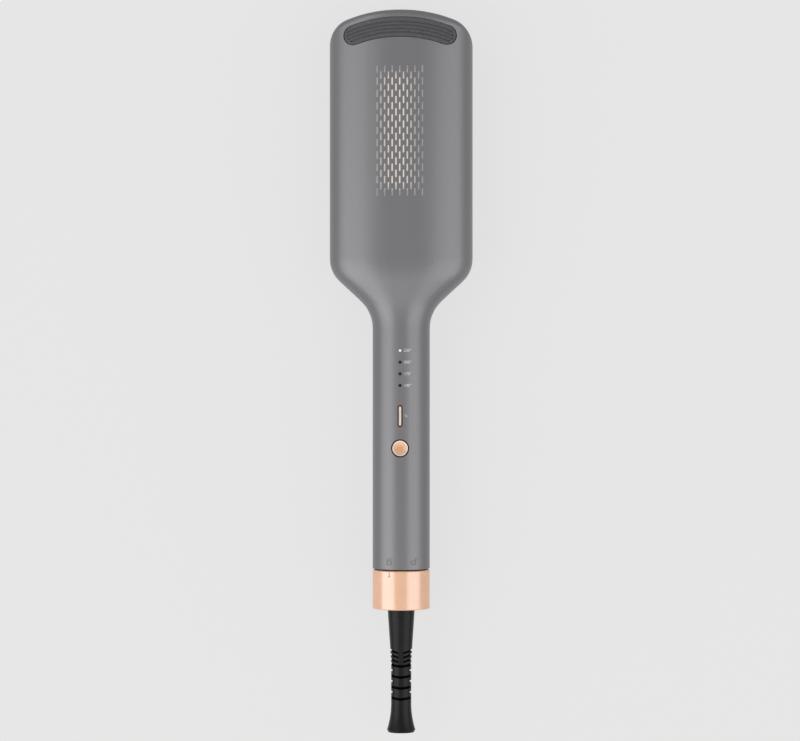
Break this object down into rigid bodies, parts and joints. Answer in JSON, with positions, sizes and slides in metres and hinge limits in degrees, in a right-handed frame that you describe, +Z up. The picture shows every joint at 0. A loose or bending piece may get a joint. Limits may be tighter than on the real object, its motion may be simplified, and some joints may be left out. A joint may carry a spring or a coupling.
{
  "type": "hair straightener",
  "caption": "Wide-paddle hair straightener, closed: two hinged arms with floating heating plates, vented back, indicator lenses, two keys, twist lock ring and swivelling strain relief.",
  "frame": {"origin": "on the flat land of the base arm's outer face, which the closed tool lies on, in the middle of the straight stretch of the paddle", "axes": "+Y along the tool to the tip of the paddles, +Z up through both arms to the control arm, +X to the right of someone who looks down on the controls with the tip away"},
  "size_m": [0.07, 0.3518, 0.038],
  "materials": {
    "shell_plastic": "fine matte grey soft-touch paint",
    "cover_plastic": "dark heat-proof moulding",
    "plate_coating": "smooth ceramic coating on aluminium",
    "heater_sleeve": "bare aluminium sleeve",
    "clamp_steel": "bare sheet",
    "sensor_bead": "varnished bead",
    "grip_rubber": "matte ribbed rubber",
    "pad_silicone": "matte silicone",
    "screw_steel": "zinc plated",
    "lead_sleeve": "silicone sleeve",
    "rose_metal": "satin rose-gold anodising",
    "rose_keys": "satin rose-gold plating",
    "board_laminate": "solder-masked laminate",
    "part_black": "moulded black",
    "diode_body": "clear cap",
    "lens_lit": "lit white lens",
    "lens_dark": "unlit smoked lens",
    "spring_steel": "tempered strip",
    "relief_rubber": "matte black rubber"
  },
  "bodies": {
    "base_arm": {"base_shell": "shell_plastic", "base_inner_cover": "cover_plastic", "base_tip_grip": "grip_rubber", "base_float_pads": "pad_silicone", "base_cover_screws": "screw_steel", "base_leads": "lead_sleeve", "lock_tongue": "clamp_steel", "tongue_screw": "screw_steel"},
    "base_float": {"base_plate": "plate_coating", "base_heater": "heater_sleeve", "base_heater_clamp": "clamp_steel", "base_sensor": "sensor_bead"},
    "control_arm": {"control_shell": "shell_plastic", "control_inner_cover": "cover_plastic", "control_tip_grip": "grip_rubber", "control_float_pads": "pad_silicone", "control_cover_screws": "screw_steel", "control_leads": "lead_sleeve", "vent_screen": "rose_metal", "control_board": "board_laminate", "key_switches": "part_black", "indicator_diodes": "diode_body", "indicator_lens_lit": "lens_lit", "indicator_lenses": "lens_dark", "board_power_parts": "part_black", "tail_core": "cover_plastic", "tail_cover": "shell_plastic", "tail_cap": "cover_plastic", "hinge_pin": "screw_steel", "opening_spring": "spring_steel"},
    "control_float": {"control_plate": "plate_coating", "control_heater": "heater_sleeve", "control_heater_clamp": "clamp_steel", "control_sensor": "sensor_bead"},
    "twist_lock": {"lock_ring": "rose_metal", "lock_cam": "cover_plastic"},
    "power_key": {"power_button": "rose_keys"},
    "mode_key": {"mode_button": "rose_keys"},
    "cord_swivel": {"strain_relief": "relief_rubber"}
  },
  "joints": [
    {"name": "arm_hinge", "type": "hinge", "parent": "base_arm", "child": "control_arm", "pos_m": [0, -0.18928, 0.019], "axis": [1, 0, 0], "range_deg": [0, 12], "deforming": ["opening_spring"]},
    {"name": "lock_ring_turn", "type": "hinge", "parent": "control_arm", "child": "twist_lock", "pos_m": [0, -0.2135, 0.019], "axis": [0, 1, 0], "range_deg": [0, 50]},
    {"name": "power_press", "type": "slide", "parent": "control_arm", "child": "power_key", "axis": [0, 0, -1], "range_m": [0, 0.0006], "stiffness_N_per_m": 1500, "springref_m": -0.0005},
    {"name": "mode_press", "type": "slide", "parent": "control_arm", "child": "mode_key", "axis": [0, 0, -1], "range_m": [0, 0.0005], "stiffness_N_per_m": 1500, "springref_m": -0.0005},
    {"name": "control_plate_float", "type": "slide", "parent": "control_arm", "child": "control_float", "axis": [0, 0, 1], "range_m": [0, 0.0008], "stiffness_N_per_m": 2000, "springref_m": -0.002, "deforming": ["control_float_pads"]},
    {"name": "base_plate_float", "type": "slide", "parent": "base_arm", "child": "base_float", "axis": [0, 0, -1], "range_m": [0, 0.0008], "stiffness_N_per_m": 2000, "springref_m": -0.002, "deforming": ["base_float_pads"]},
    {"name": "cord_swivel_turn", "type": "hinge", "parent": "control_arm", "child": "cord_swivel", "pos_m": [0, -0.25, 0.019], "axis": [0, 1, 0], "continuous": true}
  ]
}
